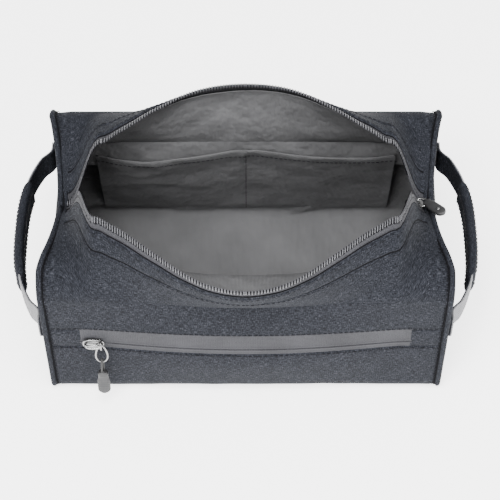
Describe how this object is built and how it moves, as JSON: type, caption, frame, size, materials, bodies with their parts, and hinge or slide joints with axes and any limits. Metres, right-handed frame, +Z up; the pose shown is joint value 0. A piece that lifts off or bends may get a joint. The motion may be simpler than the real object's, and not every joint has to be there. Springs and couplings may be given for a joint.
{
  "type": "shaving kit bag",
  "caption": "Zip-top shaving kit bag, stood open, with a padded body, lined inside with a slip pocket, a zipped front pocket and a carry handle at each end.",
  "frame": {"origin": "middle of the flat bottom, on the surface the bag stands on", "axes": "+X along the bag's width to the right, +Y to the back wall, +Z up; the zipped pocket faces -Y"},
  "size_m": [0.3046, 0.1704, 0.1589],
  "materials": {
    "outer_fabric": "heather charcoal polyester canvas, matte",
    "lining_cloth": "smooth grey polyester lining, soft sheen",
    "zip_tape": "woven grey zip tape",
    "zip_coil": "moulded nylon coil",
    "zip_metal": "plated zinc alloy",
    "pull_rubber": "soft-touch moulded rubber",
    "pull_cord": "braided black cord",
    "foam": "closed-cell foam sheet",
    "board": "thin plastic base sheet",
    "webbing": "light grey woven webbing"
  },
  "bodies": {
    "root": {"back_lining": "lining_cloth", "back_padding": "foam", "back_panel": "outer_fabric", "base_board": "board", "bottom_lining": "lining_cloth", "bottom_panel": "outer_fabric", "end_binding_left": "outer_fabric", "end_binding_right": "outer_fabric", "end_lining_left": "lining_cloth", "end_lining_right": "lining_cloth", "end_panel_left": "outer_fabric", "end_panel_right": "outer_fabric", "front_lining": "lining_cloth", "front_lower_panel": "outer_fabric", "front_padding": "foam", "front_upper_panel": "outer_fabric", "pocket_bag": "lining_cloth", "pocket_coil": "zip_coil", "pocket_end_patch_left": "outer_fabric", "pocket_end_patch_right": "outer_fabric", "pocket_tape_lower": "zip_tape", "pocket_tape_upper": "zip_tape", "slip_pocket": "lining_cloth", "slip_pocket_hem": "lining_cloth", "slip_pocket_seam": "lining_cloth", "top_end_left": "outer_fabric", "top_end_right": "outer_fabric"},
    "front_lip_side": {"front_flap_left": "outer_fabric", "front_flap_right": "outer_fabric", "front_zip_coil_left": "zip_coil", "front_zip_coil_right": "zip_coil", "front_zip_tape_left": "zip_tape", "front_zip_tape_right": "zip_tape"},
    "front_lip_middle": {"front_flap_middle": "outer_fabric", "front_zip_coil_middle": "zip_coil", "front_zip_tape_middle": "zip_tape"},
    "back_lip_side": {"back_flap_left": "outer_fabric", "back_flap_right": "outer_fabric", "back_zip_coil_left": "zip_coil", "back_zip_coil_right": "zip_coil", "back_zip_tape_left": "zip_tape", "back_zip_tape_right": "zip_tape"},
    "back_lip_middle": {"back_flap_middle": "outer_fabric", "back_zip_coil_middle": "zip_coil", "back_zip_tape_middle": "zip_tape"},
    "main_slider": {"main_slider": "zip_metal"},
    "main_pull": {"main_pull_loop": "zip_metal", "main_pull_tab": "pull_rubber", "main_pull_rivet": "zip_metal"},
    "pocket_slider": {"pocket_slider": "zip_metal"},
    "pocket_loop": {"pocket_pull_loop": "zip_metal"},
    "pocket_pull": {"pocket_pull_cord": "pull_cord", "pocket_pull_collar": "pull_rubber", "pocket_pull_tab": "pull_rubber"},
    "handle_left": {"handle_grip_left": "outer_fabric", "handle_strap_left": "webbing"},
    "handle_right": {"handle_grip_right": "outer_fabric", "handle_strap_right": "webbing"}
  },
  "joints": [
    {"name": "main_zip_slide", "type": "slide", "parent": "root", "child": "main_slider", "axis": [-1, 0, 0], "range_m": [0, 0.218]},
    {"name": "front_side_fold", "type": "hinge", "parent": "root", "child": "front_lip_side", "pos_m": [0, -0.055, 0.104], "axis": [-1, 0, 0], "range_deg": [0, 86], "deforming": ["front_flap_left", "front_flap_right", "front_zip_coil_left", "front_zip_coil_right", "front_zip_tape_left", "front_zip_tape_right"]},
    {"name": "front_middle_fold", "type": "hinge", "parent": "front_lip_side", "child": "front_lip_middle", "pos_m": [0, -0.055, 0.104], "axis": [-1, 0, 0], "range_deg": [0, 48], "deforming": ["front_flap_middle", "front_zip_coil_middle", "front_zip_tape_middle"]},
    {"name": "back_side_fold", "type": "hinge", "parent": "root", "child": "back_lip_side", "pos_m": [0, 0.055, 0.104], "axis": [1, 0, 0], "range_deg": [0, 54], "deforming": ["back_flap_left", "back_flap_right", "back_zip_coil_left", "back_zip_coil_right", "back_zip_tape_left", "back_zip_tape_right"]},
    {"name": "back_middle_fold", "type": "hinge", "parent": "back_lip_side", "child": "back_lip_middle", "pos_m": [0, 0.055, 0.104], "axis": [1, 0, 0], "range_deg": [0, 39], "deforming": ["back_flap_middle", "back_zip_coil_middle", "back_zip_tape_middle"]},
    {"name": "main_pull_swing", "type": "hinge", "parent": "main_slider", "child": "main_pull", "pos_m": [0.109, 0, 0.10948], "axis": [-0.342, -0.9397, 0], "range_deg": [0, 130]},
    {"name": "pocket_zip_slide", "type": "slide", "parent": "root", "child": "pocket_slider", "axis": [1, 0, 0], "range_m": [0, 0.196]},
    {"name": "pocket_loop_swing", "type": "hinge", "parent": "pocket_slider", "child": "pocket_loop", "pos_m": [-0.093, -0.078, 0.06025], "axis": [-1, 0, 0], "range_deg": [0, 90]},
    {"name": "pocket_pull_swing", "type": "hinge", "parent": "pocket_loop", "child": "pocket_pull", "pos_m": [-0.093, -0.08112, 0.04558], "axis": [-1, 0, 0], "range_deg": [0, 60]},
    {"name": "handle_left_swing", "type": "hinge", "parent": "root", "child": "handle_left", "pos_m": [-0.1309, 0, 0.072], "axis": [0, 1, 0], "range_deg": [-45, 45], "deforming": ["handle_strap_left"]},
    {"name": "handle_right_swing", "type": "hinge", "parent": "root", "child": "handle_right", "pos_m": [0.1309, 0, 0.072], "axis": [0, -1, 0], "range_deg": [-45, 45], "deforming": ["handle_strap_right"]}
  ],
  "couplings": [
    {"joint": "front_side_fold", "follows": "main_zip_slide", "rad_per_m": 6.8852},
    {"joint": "front_middle_fold", "follows": "main_zip_slide", "rad_per_m": 3.8429},
    {"joint": "back_side_fold", "follows": "main_zip_slide", "rad_per_m": 4.3232},
    {"joint": "back_middle_fold", "follows": "main_zip_slide", "rad_per_m": 3.1223}
  ]
}
